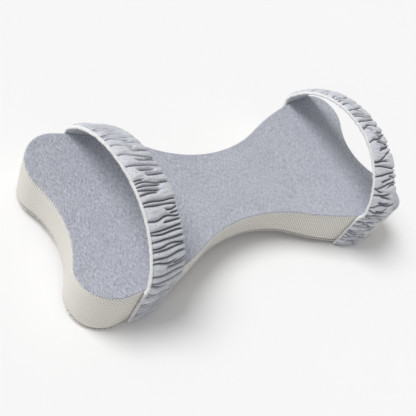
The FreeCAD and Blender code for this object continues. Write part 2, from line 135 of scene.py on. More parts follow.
class ColourSettings(bpy.types.PropertyGroup):
    """Base colours, as sRGB hex codes."""

    knit_light: shade("Knit light", "Pale fibres of the top knit", "#CDD0D9")
    knit_dark: shade("Knit dark", "Grey fibres of the top knit", "#8E909B")
    # The strap's fibre colours, set paler than the top knit's as a painted highlight on the
    # gathered strap.
    strap_light_with_painted_highlight: shade("Strap light", "Pale fibres of the strap knit", "#EEF0F5")
    strap_dark_with_painted_highlight: shade("Strap dark", "Grey fibres of the strap knit", "#B0B2BB")
    mesh_yarn: shade("Mesh yarn", "Yarn of the spacer mesh", "#F6F3ED")
    # Painted shade: the colour the mesh's openings are darkened to.
    painted_hole_shade: shade("Mesh hole", "Depth of the holes in the mesh", "#BDB6A8")
    thread: shade("Thread", "Sewing thread", "#FBFBFA")
    foam: shade("Foam", "Foam core", "#EFE6C8")
    metal: shade("Metal", "Zip slider and stops", "#C9CACC")
    floor: shade("Floor", "Studio floor", "#F4F4F4")


class StageSettings(bpy.types.PropertyGroup):
    """Camera, floor and lights."""

    camera_place: FloatVectorProperty(
        name="Camera", description="Place of the camera",
        default=(-0.4671, -0.3146, 0.6048), subtype="TRANSLATION",
    )
    camera_aim: FloatVectorProperty(
        name="Aim", description="Point in the middle of the view",
        default=(-0.0323, -0.0117, 0.030), subtype="TRANSLATION",
    )
    camera_roll: angle("Roll", "Turn of the camera about its own line of sight", -32.24)
    lens: FloatProperty(name="Lens", description="Focal length in millimetres", default=52.2)
    key_power: FloatProperty(name="Key", description="Strength of the main light", default=2.2)
    key_softness: angle("Key softness", "How wide the main light looks from the cushion", 30.0)
    sky_strength: FloatProperty(name="Sky", description="Strength of the sky", default=0.45)


def cushion():
    return bpy.context.scene.support_cushion


def strap_sizes():
    return bpy.context.scene.support_strap


def zip_sizes():
    return bpy.context.scene.support_zip


def colours():
    return bpy.context.scene.support_colours


def stage_sizes():
    return bpy.context.scene.support_stage


# ---- materials ------------------------------------------------------------------


def linear(code, alpha=1.0):
    """An sRGB hex code as linear RGBA."""
    parts = [int(code[i:i + 2], 16) / 255 for i in (1, 3, 5)]
    lin = [c / 12.92 if c <= 0.04045 else ((c + 0.055) / 1.055) ** 2.4 for c in parts]
    return (*lin, alpha)


def node(tree, kind, links=None, **settings):
    """One node with its settings; links are input name or index to a socket or value."""
    made = tree.nodes.new(kind)
    for name, value in settings.items():
        setattr(made, name, value)
    for socket, value in (links or {}).items():
        if isinstance(value, bpy.types.NodeSocket):
            tree.links.new(value, made.inputs[socket])
        else:
            made.inputs[socket].default_value = value
    return made


def new_material(name):
    made = bpy.data.materials.new(name)
    made.use_nodes = True
    tree = made.node_tree
    shader = tree.nodes["Principled BSDF"]
    return made, tree, shader


def object_place(tree, scale, turn=(0, 0, 0)):
    """Object coordinates in units of the given real lengths in metres."""
    place = node(tree, "ShaderNodeTexCoord")
    inverse = tuple(1 / s for s in scale)
    links = {"Vector": place.outputs["Object"], "Scale": inverse, "Rotation": turn}
    return node(tree, "ShaderNodeMapping", links, vector_type="POINT").outputs[0]


def uv_place(tree, scale):
    place = node(tree, "ShaderNodeTexCoord")
    inverse = (1 / scale[0], 1 / scale[1], 1)
    links = {"Vector": place.outputs["UV"], "Scale": inverse}
    return node(tree, "ShaderNodeMapping", links, vector_type="POINT").outputs[0]


def noise(tree, place, detail=2.0, rough=0.5, distortion=0.0):
    links = {
        "Vector": place, "Scale": 1.0, "Detail": detail,
        "Roughness": rough, "Distortion": distortion,
    }
    return node(tree, "ShaderNodeTexNoise", links).outputs["Fac"]


def ramp(tree, value, stops):
    made = node(tree, "ShaderNodeValToRGB", {"Fac": value})
    while len(made.color_ramp.elements) < len(stops):
        made.color_ramp.elements.new(0.5)
    for element, (place, colour) in zip(made.color_ramp.elements, stops):
        element.position = place
        element.color = colour
    return made.outputs["Color"]


def mix(tree, share, low, high, blend="MIX"):
    links = {0: share, 6: low, 7: high}
    return node(tree, "ShaderNodeMix", links, data_type="RGBA", blend_type=blend).outputs[2]


def maths(tree, kind, first, second=0.0):
    return node(tree, "ShaderNodeMath", {0: first, 1: second}, operation=kind).outputs[0]


def bump(tree, height, depth, strength=1.0, normal=None):
    links = {"Height": height, "Distance": depth, "Strength": strength}
    if normal is not None:
        links["Normal"] = normal
    return node(tree, "ShaderNodeBump", links).outputs[0]


def heather(name, light, dark, grain, turn, contrast, painted_crease_shade=False):
    """Heathered jersey knit. Grey and white fibres spun together lie in short streaks along
    the wales, over a fine rib of stitches, with a soft nap that never shines. On request,
    painted shade darkens the knit in the creases of the gathers, where the puff attribute is low."""
    made, tree, shader = new_material(name)
    streak = noise(tree, object_place(tree, grain, turn), 3.0, 0.65)
    fibre = noise(tree, object_place(tree, [g * 0.42 for g in grain], turn), 2.0, 0.6)
    cloud = noise(tree, object_place(tree, (0.06, 0.08, 0.06)), 2.0, 0.5)
    blend_value = maths(tree, "ADD", maths(tree, "MULTIPLY", streak, 0.62),
                        maths(tree, "MULTIPLY", fibre, 0.38))
    low, high = 0.5 - contrast, 0.5 + contrast
    fabric = ramp(tree, blend_value, [(low, linear(dark)), (high, linear(light))])
    tone = ramp(tree, cloud, [(0.3, (0.94, 0.94, 0.95, 1)), (0.7, (1, 1, 1, 1))])
    toned = mix(tree, 1.0, fabric, tone, "MULTIPLY")
    # Painted shade: the puff attribute darkens the knit in the creases of the gathers, standing in
    # for the shade in the folds.
    if painted_crease_shade:
        puff = node(tree, "ShaderNodeAttribute", attribute_name="puff").outputs["Fac"]
        white = (1, 1, 1, 1)
        painted_crease_shade_stops = [(0.0, linear("#4C4C54")), (0.38, linear("#A8A8AE")), (0.74, white)]
        painted_crease_shade_colour = ramp(tree, puff, painted_crease_shade_stops)
        toned = mix(tree, 1.0, toned, painted_crease_shade_colour, "MULTIPLY")
    tree.links.new(toned, shader.inputs["Base Color"])
    shader.inputs["Roughness"].default_value = 0.92
    shader.inputs["IOR"].default_value = 1.45
    shader.inputs["Specular IOR Level"].default_value = 0.25
    shader.inputs["Sheen Weight"].default_value = 0.25
    shader.inputs["Sheen Roughness"].default_value = 0.6
    rib = noise(tree, object_place(tree, [g * 0.6 for g in grain], turn), 2.0, 0.6)
    tree.links.new(bump(tree, rib, 0.0007, 0.8), shader.inputs["Normal"])
    return made


def spacer_mesh():
    """Polyester spacer mesh, warp knitted. Slanting rows of small openings in the white
    yarn face show the monofilament pile, painted darker as the shade inside the holes."""
    made, tree, shader = new_material("spacer_mesh_polyester")
    wobble = noise(tree, object_place(tree, (0.012, 0.012, 0.012)), 2.0)
    parts = node(tree, "ShaderNodeSeparateXYZ", {0: uv_place(tree, (0.0036, 0.0036))})
    along, up = parts.outputs[0], parts.outputs[1]
    falling = maths(tree, "ADD", along, maths(tree, "MULTIPLY", up, 0.85))
    rising = maths(tree, "SUBTRACT", maths(tree, "MULTIPLY", up, 1.1),
                   maths(tree, "MULTIPLY", along, 0.35))
    waves = []
    for slant, share in ((falling, 0.4), (rising, 0.3)):
        moved = maths(tree, "ADD", slant, maths(tree, "MULTIPLY", wobble, share))
        waves.append(maths(tree, "SINE", maths(tree, "MULTIPLY", moved, 2 * math.pi)))
    cells = maths(tree, "ADD", maths(tree, "MULTIPLY", waves[0], 0.58),
                  maths(tree, "MULTIPLY", waves[1], 0.42))
    height = maths(tree, "ADD", maths(tree, "MULTIPLY", cells, 0.5), 0.5)
    # The openings are painted darker where the bump height is low: painted shade in the holes.
    hole_shade, yarn = linear(colours().painted_hole_shade), linear(colours().mesh_yarn)
    colour = ramp(tree, height, [(0.14, hole_shade), (0.56, yarn)])
    tree.links.new(colour, shader.inputs["Base Color"])
    shader.inputs["Roughness"].default_value = 0.78
    shader.inputs["IOR"].default_value = 1.5
    shader.inputs["Specular IOR Level"].default_value = 0.3
    shader.inputs["Sheen Weight"].default_value = 0.15
    tree.links.new(bump(tree, height, 0.0011, 0.9), shader.inputs["Normal"])
    return made


def sewing_thread():
    """Textured polyester overlock thread, bright white with a faint twist."""
    made, tree, shader = new_material("overlock_thread_polyester")
    twist = noise(tree, object_place(tree, (0.0006, 0.0006, 0.0006)), 2.0)
    white = linear(colours().thread)
    colour = ramp(tree, twist, [(0.3, linear("#E2E2E4")), (0.6, white)])
    tree.links.new(colour, shader.inputs["Base Color"])
    shader.inputs["Roughness"].default_value = 0.6
    shader.inputs["Sheen Weight"].default_value = 0.2
    tree.links.new(bump(tree, twist, 0.0002, 0.6), shader.inputs["Normal"])
    return made


def woven_tape(name, light, dark, pitch):
    """Narrow woven polyester: fine warp ribs crossed by weft picks."""
    made, tree, shader = new_material(name)
    place = node(tree, "ShaderNodeTexCoord").outputs["Object"]
    parts = node(tree, "ShaderNodeSeparateXYZ", {0: place})
    warp = maths(tree, "SINE", maths(tree, "MULTIPLY", parts.outputs[2], 2 * math.pi / pitch))
    weft = maths(tree, "SINE", maths(tree, "MULTIPLY", parts.outputs[0], 2 * math.pi / pitch))
    weave = maths(tree, "ADD", maths(tree, "MULTIPLY", warp, 0.25),
                  maths(tree, "MULTIPLY", weft, 0.2))
    height = maths(tree, "ADD", weave, 0.5)
    colour = ramp(tree, height, [(0.1, linear(dark)), (0.7, linear(light))])
    tree.links.new(colour, shader.inputs["Base Color"])
    shader.inputs["Roughness"].default_value = 0.8
    tree.links.new(bump(tree, height, 0.0003, 0.7), shader.inputs["Normal"])
    return made


def open_cell_foam():
    """Moulded memory foam: matt, slightly yellow, with pinhole cells in its skin."""
    made, tree, shader = new_material("memory_foam_polyurethane")
    links = {"Vector": object_place(tree, (0.0022, 0.0022, 0.0022)), "Scale": 1.0}
    cells = node(tree, "ShaderNodeTexVoronoi", links).outputs["Distance"]
    foam = linear(colours().foam)
    colour = ramp(tree, cells, [(0.05, linear("#CDBF94")), (0.35, foam)])
    tree.links.new(colour, shader.inputs["Base Color"])
    shader.inputs["Roughness"].default_value = 0.95
    tree.links.new(bump(tree, cells, 0.0006, 0.8), shader.inputs["Normal"])
    return made


def nylon_coil():
    """Drawn nylon monofilament: milky white and lightly glossy."""
    made, tree, shader = new_material("nylon_coil_monofilament")
    cloud = noise(tree, object_place(tree, (0.004, 0.004, 0.004)), 2.0)
    colour = ramp(tree, cloud, [(0.3, linear("#E8E8E6")), (0.7, linear("#F8F8F6"))])
    tree.links.new(colour, shader.inputs["Base Color"])
    shader.inputs["Roughness"].default_value = 0.35
    shader.inputs["IOR"].default_value = 1.53
    return made


def cast_zinc():
    """Die-cast zinc with a tumbled satin finish, a little brighter where it is rubbed."""
    made, tree, shader = new_material("cast_zinc_satin")
    scuff = noise(tree, object_place(tree, (0.0012, 0.0012, 0.0012)), 4.0, 0.7)
    colour = ramp(tree, scuff, [(0.35, linear("#A9AAAD")), (0.65, linear(colours().metal))])
    tree.links.new(colour, shader.inputs["Base Color"])
    shader.inputs["Metallic"].default_value = 1.0
    rough = ramp(tree, scuff, [(0.3, (0.42, 0.42, 0.42, 1)), (0.7, (0.28, 0.28, 0.28, 1))])
    tree.links.new(rough, shader.inputs["Roughness"])
    tree.links.new(bump(tree, scuff, 0.0001, 0.4), shader.inputs["Normal"])
    return made


def studio_paper():
    """Matt white background paper with a barely uneven tone."""
    made, tree, shader = new_material("background_paper")
    cloud = noise(tree, object_place(tree, (0.5, 0.5, 0.5)), 2.0)
    floor = linear(colours().floor)
    dim = tuple(c * 0.985 for c in floor[:3]) + (1,)
    tree.links.new(ramp(tree, cloud, [(0.3, dim), (0.7, floor)]), shader.inputs["Base Color"])
    shader.inputs["Roughness"].default_value = 0.95
    shader.inputs["Specular IOR Level"].default_value = 0.1
    return made


MAKERS = {
    "top_knit": lambda: heather(
        "jersey_knit_heather", colours().knit_light, colours().knit_dark,
        (0.0010, 0.0042, 0.0020), (0, 0, math.radians(-8)), 0.115),
    # The strap knit carries painted shade in its creases, taken from the puff attribute.
    "strap_knit": lambda: heather(
        "jersey_knit_strap", colours().strap_light_with_painted_highlight, colours().strap_dark_with_painted_highlight,
        (0.0022, 0.0010, 0.0010), (0, 0, 0), 0.17, painted_crease_shade=True),
    "spacer_mesh": spacer_mesh,
    "thread": sewing_thread,
    "liner": lambda: woven_tape("tricot_liner_polyester", "#F6F6F4", "#DEDEDC", 0.0011),
    "zip_tape": lambda: woven_tape("woven_tape_polyester", "#F1F0EC", "#CFCDC6", 0.0009),
    "elastic": lambda: woven_tape("woven_elastic_webbing", "#F4F4F2", "#D2D2D0", 0.0012),
    "foam": open_cell_foam,
    "nylon": nylon_coil,
    "zinc": cast_zinc,
    "paper": studio_paper,
}
MADE = {}


def material(name):
    if name not in MADE:
        MADE[name] = MAKERS[name]()
    return MADE[name]


# ---- cushion form ---------------------------------------------------------------


def heading(start, end):
    return math.atan2(end[1] - start[1], end[0] - start[0])


def arc_points(centre, radius, first, last, step):
    count = max(3, int(abs(last - first) * radius / step))
    turns = np.linspace(first, last, count, endpoint=False)
    return centre + radius * np.column_stack([np.cos(turns), np.sin(turns)])


def quarter_outline(step):
    """Points from the middle of the +X end to the middle of the +Y waist."""
    size = cushion()
    end = np.array([size.end_reach + size.end_radius, 0.0])
    lobe_x = size.half_length - size.lobe_radius
    reach = size.end_radius + size.lobe_radius
    lobe = np.array([lobe_x, math.sqrt(reach**2 - (end[0] - lobe_x) ** 2)])
    waist = np.array([0.0, size.waist_half + size.waist_radius])
    to_lobe = size.flank_radius - size.lobe_radius
    to_waist = size.flank_radius + size.waist_radius
    span = waist - lobe
    distance = np.linalg.norm(span)
    along = (to_lobe**2 - to_waist**2 + distance**2) / (2 * distance)
    across = math.sqrt(to_lobe**2 - along**2)
    unit = span / distance
    flank = lobe + unit * along + np.array([-unit[1], unit[0]]) * across
    turn = heading(end, lobe)
    arcs = [
        arc_points(end, size.end_radius, math.pi, turn, step),
        arc_points(lobe, size.lobe_radius, turn - math.pi, heading(flank, lobe), step),
        arc_points(flank, size.flank_radius, heading(flank, lobe), heading(flank, waist), step),
        arc_points(waist, size.waist_radius, heading(waist, flank), -math.pi / 2, step),
    ]
    return np.vstack(arcs + [[[0.0, size.waist_half]]])


def outline(count):
    """Evenly spaced points round the plan outline, with outward normals and distances."""
    quarter = quarter_outline(0.25 * MM)
    upper = np.vstack([quarter, quarter[-2::-1] * [-1, 1]])
    loop = np.vstack([upper, upper[-2::-1] * [1, -1]])
    steps = np.linalg.norm(np.diff(loop, axis=0), axis=1)
    run = np.concatenate([[0], np.cumsum(steps)])
    wanted = np.linspace(0, run[-1], count, endpoint=False)
    points = np.column_stack([np.interp(wanted, run, loop[:, i]) for i in (0, 1)])
    ahead = np.roll(points, -1, axis=0) - np.roll(points, 1, axis=0)
    ahead /= np.linalg.norm(ahead, axis=1)[:, None]
    return points, np.column_stack([ahead[:, 1], -ahead[:, 0]]), wanted


def dish_rise(x, y):
    """How far a dished face stands above its own middle."""
    size = cushion()
    reach = size.dish_ring + size.dish_tube
    tube = np.sqrt(size.dish_tube**2 - np.clip(np.abs(y), 0, 0.2) ** 2)
    return reach - np.sqrt((size.dish_ring + tube) ** 2 - np.asarray(x) ** 2)


def face_height(x, y, side):
    if side == "top":
        return cushion().top_middle + dish_rise(x, y)
    return np.maximum(cushion().base_middle - dish_rise(x, y), 0.0)


def spine(points):
    """The point on the long axis that each outline point is drawn in towards."""
    count = len(points)
    share = 1 - np.abs(((np.arange(count) / count * 4) % 2 + 1) % 2 - 1)
    side = np.where((np.arange(count) < count / 4) | (np.arange(count) > 3 * count / 4), 1, -1)
    return np.column_stack([side * 0.68 * cushion().half_length * share, np.zeros(count)])


def face_rings(points, normals, side, rings, edge):
    """Rings of a face from the seam inwards; edge lists (inset, drop) of the first few."""
    sign = -1 if side == "top" else 1
    loops = []
    for inset, drop in edge:
        flat = points - normals * inset
        height = face_height(flat[:, 0], flat[:, 1], side) + sign * drop
        loops.append(np.column_stack([flat, height]))
    start = points - normals * edge[-1][0]
    middle = spine(points)
    for ring in range(1, rings + 1):
        share = (ring / rings) ** 1.12
        flat = start * (1 - share) + middle * share
        height = face_height(flat[:, 0], flat[:, 1], side)
        loops.append(np.column_stack([flat, height]))
    return np.array(loops)


def wall_rows(points, normals, rows, tuck, margin):
    """Rows of the wall from the top seam down to the bottom seam."""
    high = face_height(points[:, 0], points[:, 1], "top") - margin
    low = face_height(points[:, 0], points[:, 1], "bottom") + margin
    loops = []
    for row in range(rows + 1):
        share = row / rows
        height = high * (1 - share) + low * share
        edge = np.minimum(high - height, height - low)
        inset = tuck * np.clip(1 - edge / (2.2 * MM), 0, 1) ** 2
        flat = points - normals * inset[:, None]
        loops.append(np.column_stack([flat, height]))
    return np.array(loops)


def grid_faces(rows, columns, closed=True):
    across = columns if closed else columns - 1
    faces = []
    for row in range(rows - 1):
        for column in range(across):
            after = (column + 1) % columns
            a, b = row * columns + column, row * columns + after
            faces.append((a, b, b + columns, a + columns))
    return faces


def new_object(name, vertices, faces, finish=None):
    mesh = bpy.data.meshes.new(name)
    mesh.from_pydata([tuple(v) for v in vertices], [], faces)
    mesh.update()
    made = bpy.data.objects.new(name, mesh)
    bpy.context.scene.collection.objects.link(made)
    if finish:
        mesh.materials.append(finish)
    return made


def use_modifiers(thing):
    """Replaces an object's mesh with its evaluated one and removes the modifiers."""
    graph = bpy.context.evaluated_depsgraph_get()
    graph.update()
    mesh = bpy.data.meshes.new_from_object(thing.evaluated_get(graph))
    thing.modifiers.clear()
    old = thing.data
    mesh.name = old.name + "_mesh"
    thing.data = mesh
    bpy.data.meshes.remove(old)
    return thing


def smooth(thing):
    thing.data.shade_smooth()
    return thing


def merge(thing, distance):
    work = bmesh.new()
    work.from_mesh(thing.data)
    bmesh.ops.remove_doubles(work, verts=work.verts, dist=distance)
    bmesh.ops.dissolve_degenerate(work, edges=work.edges, dist=distance * 0.1)
    bmesh.ops.recalc_face_normals(work, faces=work.faces)
    work.to_mesh(thing.data)
    work.free()
    return thing


def inflated_form():
    """The stuffed cushion before it swells, how far it then swells, and a way to look it up.

    A closed form with its seams held fast and its foam behind it is blown up by a cloth
    simulation. The swell is read vertex by vertex, along the form's own normal.
    """
    count, rings, wall_steps = 240, 14, 10
    cover, floor_gap = 1.6, 1.0
    points, normals, _ = outline(count)
    inner = points - normals * cover * MM
    top = face_rings(inner, normals, "top", rings, [(0.0, cover * MM)])
    bottom = face_rings(inner, normals, "bottom", rings, [(0.0, -cover * MM)])
    top[:, :, 2] -= cover * MM
    bottom[:, :, 2] = np.maximum(bottom[:, :, 2] + cover * MM, floor_gap * MM)
    wall = np.linspace(top[0], bottom[0], wall_steps)
    loops = np.concatenate([top[::-1], wall[1:-1], bottom])
    form = new_object("stuffed_form", loops.reshape(-1, 3), grid_faces(len(loops), count))
    merge(form, 0.3 * MM)
    remesh = form.modifiers.new("even", "REMESH")
    remesh.mode = "VOXEL"
    remesh.voxel_size = 5 * MM
    use_modifiers(form)
    hold_seams(form, np.vstack([top[0], bottom[0]]))
    before = np.array([vertex.co[:] for vertex in form.data.vertices])
    facing = np.array([vertex.normal[:] for vertex in form.data.vertices])
    simulate(form)
    after = np.array([vertex.co[:] for vertex in form.data.vertices])
    swell = np.einsum("ij,ij->i", after - before, facing)
    bpy.data.objects.remove(form)
    return before, facing, swell


def hold_seams(form, seams):
    """Pins the form at its seams, and lightly everywhere else as the foam behind it does."""
    seam_reach, seam_hold, foam_hold = 5 * MM, 1.0, 0.1
    tree = kdtree.KDTree(len(seams))
    for index, place in enumerate(seams):
        tree.insert(place, index)
    tree.balance()
    held = form.vertex_groups.new(name="held")
    for vertex in form.data.vertices:
        near = tree.find(vertex.co)[2] < seam_reach
        held.add([vertex.index], seam_hold if near else foam_hold, "REPLACE")


def simulate(form):
    cloth = form.modifiers.new("cloth", "CLOTH")
    settings = cloth.settings
    settings.quality = 6
    settings.mass = 0.3
    settings.use_pressure = True
    settings.uniform_pressure_force = 4.0
    settings.tension_stiffness = 25
    settings.compression_stiffness = 25
    settings.shear_stiffness = 10
    settings.bending_stiffness = 0.6
    settings.vertex_group_mass = "held"
    settings.pin_stiffness = 1.0
    settings.effector_weights.gravity = 0.0
    cloth.collision_settings.use_self_collision = False
    cloth.collision_settings.use_collision = False
    scene = bpy.context.scene
    cloth.point_cache.frame_start = 1
    cloth.point_cache.frame_end = 20
    for frame in range(1, 21):
        scene.frame_set(frame)
    use_modifiers(form)
    scene.frame_set(1)


def swell_of(form, places, direction):
    """The form's swell at each place, from its nearest few points that face that way,
    eased towards the cap so that no edge shows where it is reached."""
    before, facing, swell = form
    facing_share, neighbours, blur = 0.6, 6, 2 * MM
    toward = np.flatnonzero(facing @ np.array(direction) > facing_share)
    tree = kdtree.KDTree(len(toward))
    for index in toward:
        tree.insert(before[index], int(index))
    tree.balance()
    found = np.zeros(len(places))
    for number, place in enumerate(places):
        close = tree.find_n(place, neighbours)
        weights = np.array([1 / (gap + blur) ** 2 for _, _, gap in close])
        found[number] = weights @ swell[[index for _, index, _ in close]] / weights.sum()
    cap = cushion().swell
    return cap * np.tanh(np.maximum(found, 0) / cap)


def soften(values, rounds):
    for _ in range(rounds):
        values = (values + np.roll(values, 1, axis=1) + np.roll(values, -1, axis=1)) / 3
        middle = (values[2:] + values[1:-1] + values[:-2]) / 3
        values = np.vstack([values[:1], middle, values[-1:]])
    return values


def ease(value, low, high):
    share = np.clip((value - low) / (high - low), 0, 1)
    return share * share * (3 - 2 * share)


def under_straps(x):
    """1 where a strap leg presses on the wall and 0 well away from it."""
    press = np.zeros_like(x)
    for side in ("left_strap", "right_strap"):
        low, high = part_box(f"{side}_near_leg")
        far_low, far_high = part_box(f"{side}_far_leg")
        start, end = min(low.x, far_low.x), max(high.x, far_high.x)
        inside = ease(x, start - 22 * MM, start) * (1 - ease(x, end, end + 22 * MM))
        press = np.maximum(press, inside)
    return press


def pucker(run, distance, pitch, depth):
    """Small dimples where the stitches draw the fabric in along a seam."""
    wave = np.sin(run / pitch * 2 * math.pi + 1.7 * np.sin(run / pitch * 0.9))
    return -depth * (0.5 + 0.5 * wave) * np.exp(-distance / (5.0 * MM))


def face_shell(name, side, form, finish, thickness):
    """A face panel: the dished face, swollen by the stuffing and turned in at its edge."""
    count, rings = 640, 36
    points, normals, run = outline(count)
    tuck = cushion().seam_tuck
    edge = [(tuck, 2.5 * MM), (0.5 * MM, 2.1 * MM), (0.15 * MM, 1.4 * MM), (0.3 * MM, 0.8 * MM),
            (0.9 * MM, 0.3 * MM), (1.9 * MM, 0.05 * MM), (3.5 * MM, 0.0)]
    if side == "bottom":
        edge = [(inset, min(drop, 1.7 * MM)) for inset, drop in edge]
    loops = face_rings(points, normals, side, rings, edge)
    up = np.array([0, 0, 1.0 if side == "top" else -1.0])
    spread = np.linalg.norm(loops[:, :, :2] - points[None], axis=2)
    lift = np.zeros(loops.shape[:2])
    if form is not None:
        lift = soften(swell_of(form, loops.reshape(-1, 3), up).reshape(lift.shape), 3)
    else:
        lift += 1.5 * MM
    lift *= ease(spread, 2 * MM, 26 * MM)
    lift += pucker(run[None], spread, 11 * MM, 0.35 * MM) * ease(spread, 1 * MM, 4 * MM)
    if side == "bottom":
        lift = np.minimum(lift, loops[:, :, 2])
    loops = loops + lift[:, :, None] * up
    panel = new_object(name, loops.reshape(-1, 3), grid_faces(len(loops), count), finish)
    merge(panel, 0.2 * MM)
    point_outwards(panel, up)
    shell = panel.modifiers.new("thickness", "SOLIDIFY")
    shell.thickness = thickness
    shell.offset = -1
    use_modifiers(panel)
    for vertex in panel.data.vertices:
        vertex.co.z = max(vertex.co.z, 0.0)
    return smooth(panel)


def point_outwards(panel, up):
    mesh = panel.data
    total = sum((f.normal.dot(Vector(up)) * f.area for f in mesh.polygons), 0.0)
    if total < 0:
        mesh.flip_normals()


def wall_shell(finish):
    """The mesh wall, bulged a little between its seams, with a window at the zip."""
    count, rows = 640, 26
    points, normals, run = outline(count)
    loops = wall_rows(points, normals, rows, cushion().seam_tuck, 2.7 * MM)
    out = np.column_stack([normals, np.zeros(count)])
    share = np.linspace(0, 1, rows + 1)[:, None]
    free = 1 - under_straps(points[:, 0])
    roundness = 0.9 * MM
    bulge = roundness * np.sin(math.pi * share) ** 0.6 * free[None]
    bulge = bulge * (1 - zip_share(points)[None])
    distance = np.minimum(share, 1 - share) * (loops[0, :, 2] - loops[-1, :, 2])[None]
    bulge += pucker(run[None], distance, 9 * MM, 0.3 * MM) * free[None]
    loops = loops + bulge[:, :, None] * out[None]
    faces = grid_faces(rows + 1, count)
    faces = [f for f in faces if not in_window(loops.reshape(-1, 3)[list(f)].mean(axis=0))]
    wall = new_object("side_wall_mesh", loops.reshape(-1, 3), faces, finish)
    add_wall_uv(wall, run, count)
    drop_loose(wall)
    shell = wall.modifiers.new("thickness", "SOLIDIFY")
    shell.thickness = cushion().mesh_thickness
    shell.offset = -1
    outward_grid(wall)
    use_modifiers(wall)
    return smooth(wall)


def outward_grid(wall):
    """Turns the wall's faces away from the cushion's middle line."""
    mesh = wall.data
    total = sum((f.normal.x * f.center.x + f.normal.y * f.center.y for f in mesh.polygons), 0.0)
    if total < 0:
        mesh.flip_normals()


def drop_loose(thing):
    work = bmesh.new()
    work.from_mesh(thing.data)
    loose = [v for v in work.verts if not v.link_faces]
    bmesh.ops.delete(work, geom=loose, context="VERTS")
    work.to_mesh(thing.data)
    work.free()


def add_wall_uv(wall, run, count):
    """UV in metres: along the wall, and up it."""
    layer = wall.data.uv_layers.new(name="UVMap")
    total = run[-1] + run[1]
    for face in wall.data.polygons:
        columns = [wall.data.loops[i].vertex_index % count for i in face.loop_indices]
        wraps = max(columns) - min(columns) > count / 2
        for i, column in zip(face.loop_indices, columns):
            along = run[column] + (total if wraps and column < count / 2 else 0)
            height = wall.data.vertices[wall.data.loops[i].vertex_index].co.z
            layer.data[i].uv = (along, height)


def waist_polar(place):
    """Angle of a far wall point about the middle of the waist arc, from -Y."""
    centre = cushion().waist_half + cushion().waist_radius
    return math.atan2(place[0], centre - place[1])


def zip_middle():
    low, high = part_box("zip_slider")
    return (low.z + high.z) / 2


def in_window(place):
    if place[1] < 0:
        return False
    half = zip_sizes().window_half_angle
    tall = zip_sizes().window_half_height - 0.5 * MM
    return abs(waist_polar(place)) < half and abs(place[2] - zip_middle()) < tall


def zip_share(points):
    """1 along the zip and 0 away from it, so that the wall lies flat beside the tapes."""
    half = zip_sizes().window_half_angle
    turns = np.array([abs(waist_polar(p)) for p in points])
    near = 1 - ease(turns, half, half + math.radians(7))
    return np.where(points[:, 1] > 0, near, 0.0)


# ---- stitches by geometry nodes -------------------------------------------------


def bar_template(name, length_value, radius, arch):
    """A short bent thread with round ends, along X, arched up along Z."""
    sides, steps = 6, 6
    vertices, faces = [], []
    for step in range(steps + 1):
        share = step / steps
        x = (share - 0.5) * length_value
        lift = arch * (1 - (2 * share - 1) ** 2)
        thin = radius * math.sqrt(max(1 - (2 * share - 1) ** 4, 0.04))
        for side in range(sides):
            turn = 2 * math.pi * side / sides
            vertices.append((x, thin * math.cos(turn), lift + thin * math.sin(turn)))
    faces = [tuple(reversed(f)) for f in grid_faces(steps + 1, sides)]
    faces.append(tuple(range(sides)))
    faces.append(tuple(reversed(range(steps * sides, (steps + 1) * sides))))
    made = new_object(name, vertices, faces)
    return merge(made, 1e-7)


def loop_template(name, major_y, major_z, minor, lean):
    """A closed turn of thread in the YZ plane, leaning along X."""
    around, sides = 12, 5
    vertices, faces = [], []
    for step in range(around):
        turn = 2 * math.pi * step / around
        middle = np.array([
            lean * math.sin(turn), major_y * math.cos(turn), major_z * math.sin(turn)])
        out = np.array([0.0, math.cos(turn), math.sin(turn)])
        for side in range(sides):
            roll = 2 * math.pi * side / sides
            spot = middle + minor * (out * math.cos(roll) + np.array([math.sin(roll), 0, 0]))
            vertices.append(spot)
    for step in range(around):
        after = (step + 1) % around
        for side in range(sides):
            nxt = (side + 1) % sides
            faces.append((step * sides + side, after * sides + side,
                          after * sides + nxt, step * sides + nxt))
    made = new_object(name, vertices, faces)
    return merge(made, 1e-7)


def path_object(name, points, ups, closed):
    """A path of edges that carries the outward direction of each point."""
    count = len(points)
    edges = [(i, i + 1) for i in range(count - 1)] + ([(count - 1, 0)] if closed else [])
    mesh = bpy.data.meshes.new(name)
    mesh.from_pydata([tuple(p) for p in points], edges, [])
    attribute = mesh.attributes.new("outward", "FLOAT_VECTOR", "POINT")
    attribute.data.foreach_set("vector", np.asarray(ups, np.float32).ravel())
    made = bpy.data.objects.new(name, mesh)
    bpy.context.scene.collection.objects.link(made)
    return made


